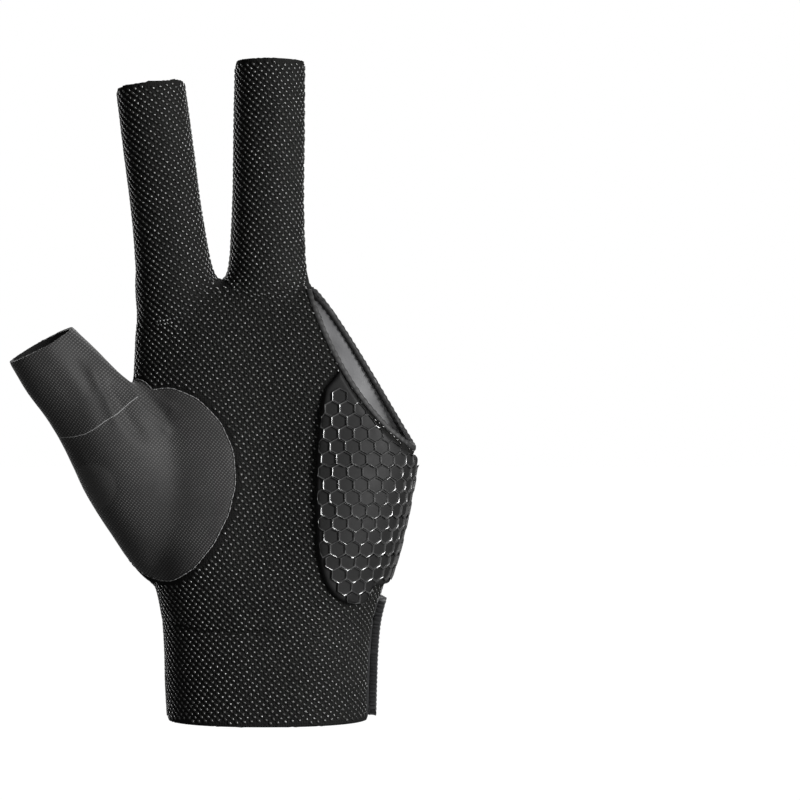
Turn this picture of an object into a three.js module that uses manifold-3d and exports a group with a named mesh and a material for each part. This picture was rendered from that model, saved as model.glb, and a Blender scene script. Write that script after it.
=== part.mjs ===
// Three-finger billiard glove for a left hand, in the form it has when worn.
// Millimetres, +Z up the fingers, palm towards -Y, thumb towards -X.
// The origin is the centre of the wrist opening.
import * as THREE from "three";
import { mergeGeometries, mergeVertices } from "three/addons/utils/BufferGeometryUtils.js";
import Module from "manifold-3d";

const wasm = await Module();
wasm.setup();

// Driving sizes
const wall = 1.2; // stretch fabric and mesh
const seamGap = 0.3; // between two pieces that are sewn edge to edge or lie on each other
const cuff = { width: 60, thickness: 42, height: 29.3, squareness: 2.2 };
const palm = { width: 86, thickness: 42, height: 126.9, squareness: 2.35 }; // up to the crotch of the fingers
const index = { length: 59, width: 20.3, depth: 19.2, rootX: -27.9, sideTilt: -7, lean: 4 };
const middle = { length: 65.2, width: 20.8, depth: 19.6, rootX: -1.1, sideTilt: 0.9, lean: 3 };
const thumb = { length: 77.6, width: 20.8, depth: 18.6, sideTilt: -34.4, lean: 11, tipTurn: 5.4 };
const thumbRoot = { x: -22.2, y: -2.2, z: 46.5 };
const thumbPatch = { width: 43.2, height: 58, x: -29.1, y: -10, z: 68.1, yaw: 30, depth: 9, tubeRoom: 2.5 };
const opening = { topX: 11.4, topZ: 127.2, bottomX: 45, bottomZ: 76.3 }; // the ends of its slanted edge
const edgeBow = { palmSag: 9, palmSkew: 0.75, backRise: 3, backSkew: 0.45, sideShare: 0.6, steps: 12 };
const binding = { width: 1.7, thickness: 2.2, roundness: 0.55, steps: 30 };
const pad = { thickness: 2.1, left: 13.8, bottom: 34.5, sideBottom: 39.9, top: 96.3, edgeMargin: 3.2 };
const hexagon = { pitch: 4.15, ridge: 0.8, relief: 0.6, margin: 1.5, columns: 8, rows: 18, endAngle: 0.2 };
const strap = { thickness: 2.2, height: 33, sideHeight: 37.9, hem: 0.4, frontX: 29.4, tabEnd: 4.4 };
const tabRadius = 15; // the strap's rounded end
const slit = { front: -8, back: 2, height: 31 }; // in the cuff's little-finger side, under the strap
const backSeam = { cuffThumb: 4, palmThumb: 9, finger: 1.5, pinky: 0 }; // where mesh meets back, towards +Y
const seamLevels = { palmFrom: 0.2, palmTo: 0.66 }; // shares of the palm between which that seam is level
const palmHollow = { share: 0.42 }; // how wide the hollow of the palm is, as a share of half the width

const segments = { trunk: 34, finger: 18, thumb: 20, patch: 24, curve: 8 };
const fineAngle = 0.004; // step of a search round the trunk
const search = 30; // halvings
const far = 80; // beyond every side of the glove
const openEnd = 4; // how far a hollow runs out of its end

// The hand's sections. Widths and depths are shares of the cuff's or the palm's; hollow dents the palm side.
const cuffSections = [
  { rise: 0, thumbSide: 0.505, pinkySide: 0.475, palmSide: 0.5, backSide: 0.5, hollow: 0 },
  { rise: 0.35, thumbSide: 0.515, pinkySide: 0.48, palmSide: 0.495, backSide: 0.49, hollow: 0 },
  { rise: 0.7, thumbSide: 0.519, pinkySide: 0.487, palmSide: 0.49, backSide: 0.48, hollow: 0 },
  { rise: 1, thumbSide: 0.53, pinkySide: 0.503, palmSide: 0.495, backSide: 0.475, hollow: 0.01 },
];
const palmSections = [
  { rise: 0.1, thumbSide: 0.393, pinkySide: 0.382, palmSide: 0.52, backSide: 0.462, hollow: 0.04 },
  { rise: 0.24, thumbSide: 0.445, pinkySide: 0.428, palmSide: 0.56, backSide: 0.43, hollow: 0.13 },
  { rise: 0.39, thumbSide: 0.477, pinkySide: 0.464, palmSide: 0.545, backSide: 0.41, hollow: 0.19 },
  { rise: 0.54, thumbSide: 0.481, pinkySide: 0.492, palmSide: 0.475, backSide: 0.388, hollow: 0.18 },
  { rise: 0.68, thumbSide: 0.472, pinkySide: 0.494, palmSide: 0.405, backSide: 0.357, hollow: 0.13 },
  { rise: 0.8, thumbSide: 0.463, pinkySide: 0.488, palmSide: 0.35, backSide: 0.326, hollow: 0.07 },
  { rise: 0.9, thumbSide: 0.458, pinkySide: 0.465, palmSide: 0.302, backSide: 0.295, hollow: 0.03 },
  { rise: 0.965, thumbSide: 0.445, pinkySide: 0.45, palmSide: 0.25, backSide: 0.246, hollow: 0 },
  { rise: 1, thumbSide: 0.4, pinkySide: 0.43, palmSide: 0.15, backSide: 0.15, hollow: 0 },
];
// A finger's sections, as shares of its length from the crotch, its half width and its half depth.
const fingerSections = [
  { along: -0.42, wide: 1, deep: 1.2, shift: 0 },
  { along: -0.14, wide: 1.2, deep: 1.25, shift: 0 },
  { along: 0.015, wide: 1.19, deep: 1.15, shift: 0 },
  { along: 0.08, wide: 1.1, deep: 1.1, shift: 0 },
  { along: 0.15, wide: 1.06, deep: 1.06, shift: 0 },
  { along: 0.38, wide: 1, deep: 1.02, shift: 0 },
  { along: 0.7, wide: 0.995, deep: 1, shift: 0 },
  { along: 1, wide: 0.98, deep: 0.98, shift: 0 },
];
const thumbSections = [
  { along: -0.06, wide: 0.94, deep: 0.7, shift: 0.04 },
  { along: 0.03, wide: 1.32, deep: 1.05, shift: -0.06 },
  { along: 0.145, wide: 1.47, deep: 1.34, shift: -0.03 },
  { along: 0.255, wide: 1.5, deep: 1.48, shift: 0.02 },
  { along: 0.357, wide: 1.5, deep: 1.53, shift: 0.05 },
  { along: 0.46, wide: 1.47, deep: 1.48, shift: 0.09 },
  { along: 0.56, wide: 1.43, deep: 1.4, shift: 0.19 },
  { along: 0.66, wide: 1.31, deep: 1.26, shift: 0.19 },
  { along: 0.765, wide: 1.18, deep: 1.12, shift: 0.115 },
  { along: 0.876, wide: 1.12, deep: 1.05, shift: 0.04 },
  { along: 1, wide: 1, deep: 1, shift: 0 },
];
// Where the trunk's rings lie, as shares of the cuff's height and of the palm's above it.
const cuffLevels = [0, 0.5, 1];
const palmLevels = [0.09, 0.18, 0.28, 0.39, 0.5, 0.61, 0.72, 0.82, 0.9, 0.96, 1];
// The gel pad's left and lower edge, as shares of its height from its left bottom corner.
const padCurve = {
  sideTurn: 0.04,
  footEnd: 0.2,
  heel: 0.04,
  heelSide: 0.015,
  heelTop: 0.22,
  belly: 0.01,
  bellyTop: 0.45,
  neck: 0.8,
  tip: 0.04,
};

const radians = THREE.MathUtils.degToRad;

// A closed geometry as a manifold solid, and back again.
function solidOf(geometry) {
  const bare = geometry.clone();
  bare.deleteAttribute("normal");
  bare.deleteAttribute("uv");
  const merged = mergeVertices(bare, 1e-4);
  return new wasm.Manifold(
    new wasm.Mesh({
      numProp: 3,
      vertProperties: new Float32Array(merged.attributes.position.array),
      triVerts: new Uint32Array(merged.index.array),
    }),
  );
}

function geometryOf(solid) {
  const mesh = solid.getMesh();
  const geometry = new THREE.BufferGeometry();
  geometry.setAttribute("position", new THREE.BufferAttribute(mesh.vertProperties, 3));
  geometry.setIndex(new THREE.BufferAttribute(mesh.triVerts, 1));
  return geometry;
}

// A closed skin through rings of equally many points, each counter-clockwise seen from the last ring's side.
function skin(rings) {
  const count = rings[0].length;
  const points = rings.flat();
  const faces = [];
  for (let r = 0; r + 1 < rings.length; r++) {
    for (let k = 0; k < count; k++) {
      const a = r * count + k;
      const b = r * count + ((k + 1) % count);
      faces.push(a, b, b + count, a, b + count, a + count);
    }
  }
  for (const ring of [0, rings.length - 1]) {
    const centre = points.length;
    const middlePoint = new THREE.Vector3();
    for (const p of rings[ring]) {
      middlePoint.addScaledVector(p, 1 / count);
    }
    points.push(middlePoint);
    for (let k = 0; k < count; k++) {
      const a = ring * count + k;
      const b = ring * count + ((k + 1) % count);
      if (ring === 0) faces.push(centre, b, a);
      else faces.push(centre, a, b);
    }
  }
  const geometry = new THREE.BufferGeometry().setFromPoints(points);
  geometry.setIndex(faces);
  return solidOf(geometry);
}

// A flat outline in X and Z, given a depth from y0 to y1.
function plate(shape, y0, y1) {
  const size = { depth: y1 - y0, bevelEnabled: false, curveSegments: segments.curve };
  const geometry = new THREE.ExtrudeGeometry(shape, size);
  return solidOf(geometry.rotateX(Math.PI / 2).translate(0, y1, 0));
}

function box(x0, x1, y0, y1, z0, z1) {
  const geometry = new THREE.BoxGeometry(x1 - x0, y1 - y0, z1 - z0);
  return solidOf(geometry.translate((x0 + x1) / 2, (y0 + y1) / 2, (z0 + z1) / 2));
}

// The trunk of the hand, from the wrist to the crotch of the fingers. grow moves its skin outwards.
function trunkSection(grow) {
  const above = palm.height + grow - cuff.height;
  const row = (s, z, size) => [z, s.thumbSide * size.width, s.pinkySide * size.width,
    s.palmSide * size.thickness, s.backSide * size.thickness, s.hollow];
  const rows = [
    ...cuffSections.map((s) => row(s, s.rise * cuff.height, cuff)),
    ...palmSections.map((s) => row(s, cuff.height + s.rise * above, palm)),
  ];
  const curve = new THREE.CubicInterpolant(rows.map((r) => r[0]), rows.flatMap((r) => r.slice(1)), 5);
  return (z, angle) => {
    const [thumbSide, pinkySide, palmSide, backSide, hollow] = curve.evaluate(z);
    const blend = THREE.MathUtils.smoothstep(z, 0, palm.height / 2);
    const power = 2 / THREE.MathUtils.lerp(cuff.squareness, palm.squareness, blend);
    const across = Math.sign(Math.cos(angle)) * Math.abs(Math.cos(angle)) ** power;
    const through = Math.sign(Math.sin(angle)) * Math.abs(Math.sin(angle)) ** power;
    const halfWidth = (thumbSide + pinkySide) / 2 + grow;
    const dent = through < 0 ? 1 - hollow * Math.exp(-((across / palmHollow.share) ** 2)) : 1;
    const depth = ((through < 0 ? palmSide : backSide) + grow) * dent;
    return new THREE.Vector3((pinkySide - thumbSide) / 2 + halfWidth * across, depth * through, z);
  };
}

function trunk(grow, below) {
  const at = trunkSection(grow);
  const above = palm.height + grow - cuff.height;
  const levels = [
    ...cuffLevels.map((rise) => rise * cuff.height),
    ...palmLevels.map((rise) => cuff.height + rise * above),
  ];
  const ring = (z) =>
    Array.from({ length: segments.trunk }, (_, k) => at(z, (2 * Math.PI * k) / segments.trunk));
  const rings = levels.map(ring);
  if (below > 0) rings.unshift(rings[0].map((p) => p.clone().setZ(-below)));
  return skin(rings);
}

// A finger or the thumb: sections square to its axis, from its root to its open tip.
function limb(size, root, sections, count, grow, beyond) {
  const axis = new THREE.Vector3(Math.tan(radians(size.sideTilt)), 0, 1).normalize();
  axis.multiplyScalar(Math.cos(radians(size.lean))).setY(-Math.sin(radians(size.lean)));
  const across = new THREE.Vector3(axis.z, 0, -axis.x).normalize();
  const through = new THREE.Vector3().crossVectors(axis, across);
  const start = new THREE.Vector3(root.x, root.y, root.z);
  const ring = (s, extra) =>
    Array.from({ length: count }, (_, k) => {
      const angle = (2 * Math.PI * k) / count;
      const wide = ((s.wide * size.width) / 2 + grow) * Math.cos(angle) + (s.shift * size.width) / 2;
      const deep = ((s.deep * size.depth) / 2 + grow) * Math.sin(angle);
      const turned = s.along === 1 ? -wide * Math.tan(radians(size.tipTurn ?? 0)) : 0;
      return start.clone().addScaledVector(axis, s.along * size.length + extra + turned)
        .addScaledVector(across, wide).addScaledVector(through, deep);
    });
  const rings = sections.map((s) => ring(s, 0));
  if (beyond > 0) rings.push(ring(sections.at(-1), beyond));
  return skin(rings);
}

function finger(size, grow, beyond) {
  const root = { x: size.rootX, y: 0, z: palm.height };
  return limb(size, root, fingerSections, segments.finger, grow, beyond);
}

function thumbTube(grow, beyond, sections = thumbSections) {
  return limb(thumb, thumbRoot, sections, segments.thumb, grow, beyond);
}

function handForm(grow, beyond) {
  return trunk(grow, beyond).add(finger(index, grow, beyond)).add(finger(middle, grow, beyond))
    .add(thumbTube(grow, beyond));
}

// The height of the slanted edge that the ring and little fingers leave by. It sags on the palm side.
function edgeHeight(x, y) {
  const t = THREE.MathUtils.clamp((x - opening.topX) / (opening.bottomX - opening.topX), 0, 1);
  const sag = -edgeBow.palmSag * Math.sin(Math.PI * t ** edgeBow.palmSkew);
  const rise = edgeBow.backRise * Math.sin(Math.PI * t ** edgeBow.backSkew);
  const side = THREE.MathUtils.clamp(0.5 + y / (edgeBow.sideShare * palm.thickness), 0, 1);
  return THREE.MathUtils.lerp(opening.topZ, opening.bottomZ, t) + THREE.MathUtils.lerp(sag, rise, side);
}

// The space above that edge, lowered by drop.
function openingSpace(drop) {
  const steps = edgeBow.steps;
  const turn = (edgeBow.sideShare * palm.thickness) / 2;
  const top = palm.height + middle.length + far;
  const ring = (y) => {
    const points = Array.from({ length: steps + 1 }, (_, k) => {
      const x = THREE.MathUtils.lerp(opening.topX, opening.bottomX, k / steps);
      return new THREE.Vector3(x, y, edgeHeight(x, y) - drop);
    });
    points.push(new THREE.Vector3(far, y, opening.bottomZ - drop));
    points.push(new THREE.Vector3(far, y, top));
    points.push(new THREE.Vector3(opening.topX, y, top));
    return points;
  };
  return skin([far, turn, 0, -turn, -far].map(ring));
}

// The slanted edge on the middle of the cloth, from the palm side round the little finger's side to the back.
function edgePoint(angle) {
  const at = trunkSection(-wall / 2);
  let low = cuff.height;
  let high = palm.height - wall;
  for (let k = 0; k < search; k++) {
    const z = (low + high) / 2;
    const p = at(z, angle);
    if (p.x < opening.topX || z < edgeHeight(p.x, p.y)) low = z;
    else high = z;
  }
  return at(low, angle);
}

// The angles of evenly spaced points of that edge, where it is clear of the middle finger.
function edgeAngles() {
  const samples = [];
  for (let angle = -Math.PI / 2; angle < Math.PI / 2; angle += fineAngle) {
    const p = edgePoint(angle);
    if (p.x < opening.topX + wall / 4) continue;
    const last = samples.at(-1);
    samples.push({ angle, p, run: last ? last.run + p.distanceTo(last.p) : 0 });
  }
  const whole = samples.at(-1).run;
  const nearest = (run) =>
    samples.reduce((a, b) => (Math.abs(b.run - run) < Math.abs(a.run - run) ? b : a)).angle;
  return Array.from({ length: binding.steps + 1 }, (_, k) => nearest((whole * k) / binding.steps));
}

// The tape along that edge, folded over it. grow moves its skin outwards.
function edgeTape(grow) {
  const angles = edgeAngles();
  const points = angles.map(edgePoint);
  const rings = [];
  for (let k = 0; k <= binding.steps; k++) {
    const angle = angles[k];
    const p = points[k].clone();
    const next = points[Math.min(k + 1, binding.steps)];
    const along = next.clone().sub(points[Math.max(k - 1, 0)]).normalize();
    const up = trunkSection(-wall / 2)(p.z - 1, angle).sub(p).negate();
    const out = new THREE.Vector3().crossVectors(along, up).normalize();
    const down = new THREE.Vector3().crossVectors(along, out).normalize();
    const half = binding.thickness / 2 + grow;
    const soft = half * binding.roundness;
    if (k === 0) p.addScaledVector(along, -grow);
    if (k === binding.steps) p.addScaledVector(along, grow);
    const row = [[-soft, half], [-binding.width - grow, half], [-binding.width - grow, -half],
      [-soft, -half], [grow, -soft], [grow, soft]];
    rings.push(row.map(([rise, side]) => p.clone().addScaledVector(down, -rise).addScaledVector(out, side)));
  }
  return skin(rings);
}

// The side of the glove that the mesh covers, in front of the seam, pulled back by gap.
function meshSide(gap) {
  const leanAt = (z) => -Math.max(0, z - palm.height) * Math.sin(radians(index.lean));
  const { cuffThumb, palmThumb, pinky } = backSeam;
  const above = palm.height - cuff.height;
  const rows = [
    { z: -far, thumbSide: cuffThumb, pinkySide: slit.front },
    { z: cuff.height, thumbSide: cuffThumb, pinkySide: slit.front },
    { z: slit.height, thumbSide: cuffThumb, pinkySide: slit.front },
    { z: cuff.height + seamLevels.palmFrom * above, thumbSide: palmThumb, pinkySide: pinky },
    { z: cuff.height + seamLevels.palmTo * above, thumbSide: palmThumb, pinkySide: pinky },
    { z: palm.height, thumbSide: backSeam.finger, pinkySide: pinky },
    { z: palm.height + far, thumbSide: backSeam.finger, pinkySide: backSeam.finger },
  ];
  return skin(rows.map((row) => [
    new THREE.Vector3(-far, -far, row.z),
    new THREE.Vector3(far, -far, row.z),
    new THREE.Vector3(far, row.pinkySide + leanAt(row.z) - gap, row.z),
    new THREE.Vector3(-far, row.thumbSide + leanAt(row.z) - gap, row.z),
  ]));
}

// The region of the thumb sleeve: a round patch on the ball of the thumb, and the tube that leaves it.
function thumbRegion(grow) {
  const patch = new THREE.Shape();
  patch.absellipse(0, 0, thumbPatch.width / 2 + grow, thumbPatch.height / 2 + grow, 0, 2 * Math.PI);
  const reach = far + thumbPatch.depth;
  const size = { depth: reach + grow, bevelEnabled: false, curveSegments: segments.patch };
  const plug = new THREE.ExtrudeGeometry(patch, size);
  plug.rotateX(Math.PI / 2).translate(0, thumbPatch.depth + grow, 0).rotateZ(-radians(thumbPatch.yaw));
  plug.translate(thumbPatch.x, thumbPatch.y, thumbPatch.z);
  const upper = thumbSections.filter((s) => s.along > 0.25);
  const tube = thumbTube(thumbPatch.tubeRoom + grow, openEnd, upper); // clear of the tube's own skin
  const front = new THREE.BoxGeometry(4 * far, 2 * far, 4 * far);
  front.translate(0, -far + thumbPatch.depth + grow, 0).rotateZ(-radians(thumbPatch.yaw));
  front.translate(thumbPatch.x, thumbPatch.y, thumbPatch.z);
  return solidOf(plug).add(tube.intersect(solidOf(front)));
}

const outer = handForm(0, 0);
const hollow = handForm(-wall, openEnd);
const shell = outer.subtract(hollow).subtract(openingSpace(binding.width)).subtract(edgeTape(seamGap));
const sleeveRoom = thumbRegion(seamGap);
const slitRoom = box(0, far, slit.front - seamGap, slit.back, -far, slit.height);

function palmPanel() {
  return shell.intersect(meshSide(seamGap)).subtract(sleeveRoom);
}

function backSide() {
  return shell.subtract(meshSide(0)).subtract(sleeveRoom).subtract(slitRoom);
}

function backPanel() {
  return backSide().intersect(box(-far, far, -far, far, cuff.height + seamGap / 2, 4 * far));
}

function cuffBack() {
  return backSide().intersect(box(-far, far, -far, far, -far, cuff.height - seamGap / 2));
}

function thumbSleeve() {
  return shell.intersect(thumbRegion(0));
}

function openingBinding() {
  return edgeTape(0).subtract(finger(middle, seamGap, 0));
}

function padOutline() {
  const height = pad.top - pad.bottom;
  const shape = new THREE.Shape();
  shape.moveTo(far, pad.sideBottom);
  shape.lineTo(strap.frontX, pad.sideBottom);
  const x = (share) => pad.left + share * height;
  const z = (share) => pad.bottom + share * height;
  const c = padCurve;
  shape.quadraticCurveTo(strap.frontX - c.sideTurn * height, pad.bottom, x(c.footEnd), pad.bottom);
  shape.quadraticCurveTo(x(c.heel), pad.bottom, x(c.heelSide), z(c.heelTop));
  shape.bezierCurveTo(x(-c.belly), z(c.bellyTop), pad.left, z(c.neck), x(c.tip), pad.top);
  shape.lineTo(far, pad.top + far);
  return shape;
}

// Hexagon pockets set square to the pad's skin, in rows round its girth, with ridges left between them.
function hexPockets() {
  const at = trunkSection(seamGap + pad.thickness);
  const step = hexagon.pitch * Math.sin(Math.PI / 3);
  const radius = (hexagon.pitch - hexagon.ridge) / 2 / Math.cos(Math.PI / 6);
  const pockets = [];
  for (let row = 0; row < hexagon.rows; row++) {
    const z = pad.bottom + hexagon.pitch / 2 + row * step;
    const goal = (k) => hexagon.pitch * (k + (row % 2 ? 0.5 : 0)) + hexagon.margin;
    let column = 0;
    let girth = 0;
    let last = null;
    for (let angle = -Math.PI / 2; angle < hexagon.endAngle && column < hexagon.columns; angle += fineAngle) {
      const p = at(z, angle);
      if (p.x < pad.left) continue;
      girth += last ? p.distanceTo(last) : 0;
      last = p;
      if (girth < goal(column)) continue;
      column++;
      const along = at(z, angle + 2 * fineAngle).sub(at(z, angle - 2 * fineAngle)).normalize();
      const up = at(z + 1, angle).sub(at(z - 1, angle)).normalize();
      const out = new THREE.Vector3().crossVectors(along, up).normalize();
      const square = new THREE.Vector3().crossVectors(out, along);
      const clear = edgeHeight(p.x, p.y) - binding.width - pad.edgeMargin - z;
      if (clear < hexagon.pitch || p.y > backSeam.pinky - hexagon.pitch) continue;
      if (z < pad.sideBottom + hexagon.pitch / 2 && p.x > strap.frontX - hexagon.pitch) continue;
      const prism = new THREE.CylinderGeometry(radius, radius, 2 * pad.thickness, 6, 1);
      prism.rotateX(Math.PI / 2);
      prism.applyMatrix4(new THREE.Matrix4().makeBasis(along, square, out));
      const lift = pad.thickness - hexagon.relief;
      prism.translate(p.x + out.x * lift, p.y + out.y * lift, p.z + out.z * lift);
      pockets.push(solidOf(prism));
    }
  }
  return wasm.Manifold.union(pockets);
}

function gelPad() {
  const skinOver = trunk(seamGap + pad.thickness, 0).subtract(handForm(seamGap, 0));
  return skinOver.intersect(plate(padOutline(), -far, far)).intersect(meshSide(seamGap))
    .subtract(openingSpace(binding.width + pad.edgeMargin)).subtract(hexPockets());
}

function wristStrap() {
  const ring = trunk(seamGap + strap.thickness, openEnd).subtract(trunk(seamGap, openEnd));
  const side = new THREE.Shape();
  const dropEnd = cuff.thickness / 4;
  side.moveTo(-far, strap.hem);
  side.lineTo(-far, strap.sideHeight);
  side.lineTo(slit.front, strap.sideHeight);
  side.lineTo(dropEnd, strap.height);
  side.lineTo(far, strap.height);
  side.lineTo(far, strap.hem);
  const profile = new THREE.ExtrudeGeometry(side, { depth: 2 * far, bevelEnabled: false });
  profile.rotateX(Math.PI / 2).rotateZ(Math.PI / 2);
  const tab = new THREE.Shape();
  tab.moveTo(far, strap.hem);
  tab.lineTo(strap.tabEnd + tabRadius, strap.hem);
  tab.quadraticCurveTo(strap.tabEnd, strap.hem, strap.tabEnd, strap.hem + tabRadius);
  tab.lineTo(strap.tabEnd, strap.height - tabRadius);
  tab.quadraticCurveTo(strap.tabEnd, strap.height, strap.tabEnd + tabRadius, strap.height);
  tab.lineTo(far, strap.height);
  const front = box(strap.frontX, far, -far, wall, -far, far);
  const flank = box(cuff.width / 4, far, 0, dropEnd, 0, strap.sideHeight);
  return ring.intersect(solidOf(profile)).intersect(plate(tab, 0, far).add(front).add(flank));
}

const finishes = {
  mesh: { color: 0x1c1c1d, roughness: 0.5 },
  stretch: { color: 0x242426, roughness: 0.7 },
  sleeve: { color: 0x3a3a3c, roughness: 0.75 },
  gel: { color: 0x19191a, roughness: 0.25 },
  elastic: { color: 0x1e1f22, roughness: 0.8 },
  tape: { color: 0x0c0c0d, roughness: 0.8 },
};

// One body for each piece; crumbs thinner than the cloth, left where two cuts cross, are dropped.
function piece(name, solid, finish) {
  const body = solid.decompose().reduce((a, b) => (b.volume() > a.volume() ? b : a));
  const material = new THREE.MeshStandardMaterial({ ...finish, metalness: 0 });
  const mesh = new THREE.Mesh(geometryOf(body), material);
  mesh.name = name;
  return mesh;
}

const glove = new THREE.Group();
glove.add(piece("palm_panel", palmPanel(), finishes.mesh));
glove.add(piece("back_panel", backPanel(), finishes.stretch));
glove.add(piece("cuff_back", cuffBack(), finishes.stretch));
glove.add(piece("thumb_sleeve", thumbSleeve(), finishes.sleeve));
glove.add(piece("gel_pad", gelPad(), finishes.gel));
glove.add(piece("wrist_strap", wristStrap(), finishes.elastic));
glove.add(piece("opening_binding", openingBinding(), finishes.tape));

export default glove;
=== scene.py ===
import bpy
import bmesh
import math
import numpy as np
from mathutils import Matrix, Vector, kdtree
from mathutils.bvhtree import BVHTree


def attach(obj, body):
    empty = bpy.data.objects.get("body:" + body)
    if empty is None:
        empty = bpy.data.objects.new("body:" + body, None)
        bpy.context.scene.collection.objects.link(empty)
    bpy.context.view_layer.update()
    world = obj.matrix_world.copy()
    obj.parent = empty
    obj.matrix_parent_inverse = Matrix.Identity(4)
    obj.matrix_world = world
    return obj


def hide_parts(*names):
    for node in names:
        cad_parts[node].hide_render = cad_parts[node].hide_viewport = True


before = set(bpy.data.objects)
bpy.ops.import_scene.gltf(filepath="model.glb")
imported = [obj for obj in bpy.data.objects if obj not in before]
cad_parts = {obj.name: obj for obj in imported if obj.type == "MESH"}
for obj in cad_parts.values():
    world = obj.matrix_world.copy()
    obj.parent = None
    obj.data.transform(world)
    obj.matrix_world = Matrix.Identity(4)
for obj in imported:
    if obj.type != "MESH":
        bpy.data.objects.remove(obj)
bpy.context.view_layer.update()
print("frame loaded")

mm = 0.001

# the form of the worn glove, in millimetres, with the main sizes of the solids
cuff = {"width": 60, "thickness": 42, "height": 29.3, "squareness": 2.2}
palm = {"width": 86, "thickness": 42, "height": 126.9, "squareness": 2.35, "hollowWidth": 0.42}
index = {"length": 59, "width": 20.3, "depth": 19.2, "root": (-27.9, 0, 126.9),
         "sideTilt": -7, "lean": 4, "tipTurn": 0, "tipRise": 3.5}
middle = {"length": 65.2, "width": 20.8, "depth": 19.6, "root": (-1.1, 0, 126.9),
          "sideTilt": 0.9, "lean": 3, "tipTurn": 0, "tipRise": 4}
thumb = {"length": 77.6, "width": 20.8, "depth": 18.6, "root": (-22.2, -2.2, 46.5),
         "sideTilt": -34.4, "lean": 11, "tipTurn": 5.4, "tipRise": 0}
# the open tips: where along a limb one begins, and how far before its end the limb is cut
tips = {"turnFrom": 0.8, "turnOver": 0.2, "cutFrom": 0.7, "shorter": 0.3}
patch = {"width": 43.2, "height": 55.6, "x": -29.1, "y": -10, "z": 68.9, "yaw": 30,
         "depth": 9, "tubeRoom": 2.5, "tubeFrom": 0.255}
opening = {"topX": 11.4, "topZ": 127.2, "bottomX": 45, "bottomZ": 76.3, "palmSag": 9, "palmSkew": 0.75,
           "backRise": 3, "backSkew": 0.45, "turnShare": 0.6, "sideSlope": 1.2, "corner": 0.6, "far": 60}
wall = 1.2
# the eye stands square before the palm, in metres
view = {"distance": 0.75, "width": 0.2346, "x": 0.0378, "z": 0.0933}

# rise, thumb side, little-finger side, palm side, back side, hollow of the palm
cuffRows = [
    (0, 0.505, 0.475, 0.5, 0.5, 0),
    (0.35, 0.515, 0.48, 0.495, 0.49, 0),
    (0.7, 0.519, 0.487, 0.49, 0.48, 0),
    (1, 0.53, 0.503, 0.495, 0.475, 0.01),
]
palmRows = [
    (0.1, 0.393, 0.382, 0.52, 0.462, 0.04),
    (0.24, 0.445, 0.428, 0.56, 0.43, 0.13),
    (0.39, 0.477, 0.464, 0.545, 0.41, 0.19),
    (0.54, 0.481, 0.492, 0.475, 0.388, 0.18),
    (0.68, 0.472, 0.494, 0.405, 0.357, 0.13),
    (0.8, 0.463, 0.488, 0.35, 0.326, 0.07),
    (0.9, 0.458, 0.465, 0.302, 0.295, 0.03),
    (0.965, 0.445, 0.45, 0.25, 0.246, 0),
    (1, 0.4, 0.43, 0.15, 0.15, 0),
]
# along, wide, deep, shift
fingerRows = [
    (-0.42, 0.92, 0.72, 0), (-0.14, 1.2, 1.25, 0), (0.015, 1.19, 1.15, 0), (0.08, 1.1, 1.1, 0),
    (0.15, 1.06, 1.06, 0), (0.38, 1, 1.02, 0), (0.7, 0.995, 1, 0), (1, 0.98, 0.98, 0), (1.12, 0.98, 0.98, 0),
]
thumbRows = [
    (-0.06, 0.94, 0.7, 0.04), (0.03, 1.32, 1.05, -0.06), (0.145, 1.47, 1.34, -0.03), (0.255, 1.5, 1.48, 0.02),
    (0.357, 1.5, 1.53, 0.05), (0.46, 1.47, 1.48, 0.09), (0.56, 1.43, 1.4, 0.19), (0.66, 1.31, 1.26, 0.19),
    (0.765, 1.18, 1.12, 0.115), (0.876, 1.12, 1.05, 0.04), (1, 1, 1, 0), (1.1, 1, 1, 0),
]


def tableOf(rows):
    return np.array([r[0] for r in rows], float), np.array([r[1:] for r in rows], float)


def smoothRow(table, at):
    # a smooth curve through the rows of a table
    xs, ys = table
    at = min(max(at, xs[0]), xs[-1])
    i = int(min(max(np.searchsorted(xs, at) - 1, 0), len(xs) - 2))

    def slope(k):
        after, before = min(k + 1, len(xs) - 1), max(k - 1, 0)
        return (ys[after] - ys[before]) / (xs[after] - xs[before])

    h = xs[i + 1] - xs[i]
    t = (at - xs[i]) / h
    a, b = ys[i], ys[i + 1]
    return ((2 * t ** 3 - 3 * t ** 2 + 1) * a + (t ** 3 - 2 * t ** 2 + t) * h * slope(i)
            + (3 * t ** 2 - 2 * t ** 3) * b + (t ** 3 - t ** 2) * h * slope(i + 1))


def inMillimetres(rows, size, low, high):
    # rises and shares of a width and thickness, as heights and lengths
    return [(low + rise * (high - low), a * size["width"], b * size["width"],
             c * size["thickness"], d * size["thickness"], hollow) for rise, a, b, c, d, hollow in rows]


trunkTable = tableOf(inMillimetres(cuffRows, cuff, 0, cuff["height"])
                     + inMillimetres(palmRows, palm, cuff["height"], palm["height"]))
fingerTable = tableOf(fingerRows)
thumbTable = tableOf(thumbRows)


def trunkPoint(z, angle):
    # a place on the cuff or palm, at a height and an angle round it
    thumbSide, pinkySide, palmSide, backSide, hollow = smoothRow(trunkTable, z)
    blend = min(max(z / (palm["height"] / 2), 0), 1)
    blend = blend * blend * (3 - 2 * blend)
    power = 2 / (cuff["squareness"] + (palm["squareness"] - cuff["squareness"]) * blend)
    across = math.copysign(abs(math.cos(angle)) ** power, math.cos(angle))
    through = math.copysign(abs(math.sin(angle)) ** power, math.sin(angle))
    dent = 1 - hollow * math.exp(-((across / palm["hollowWidth"]) ** 2)) if through < 0 else 1
    depth = (palmSide if through < 0 else backSide) * dent
    return Vector(((pinkySide - thumbSide) / 2 + (thumbSide + pinkySide) / 2 * across, depth * through, z))


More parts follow.
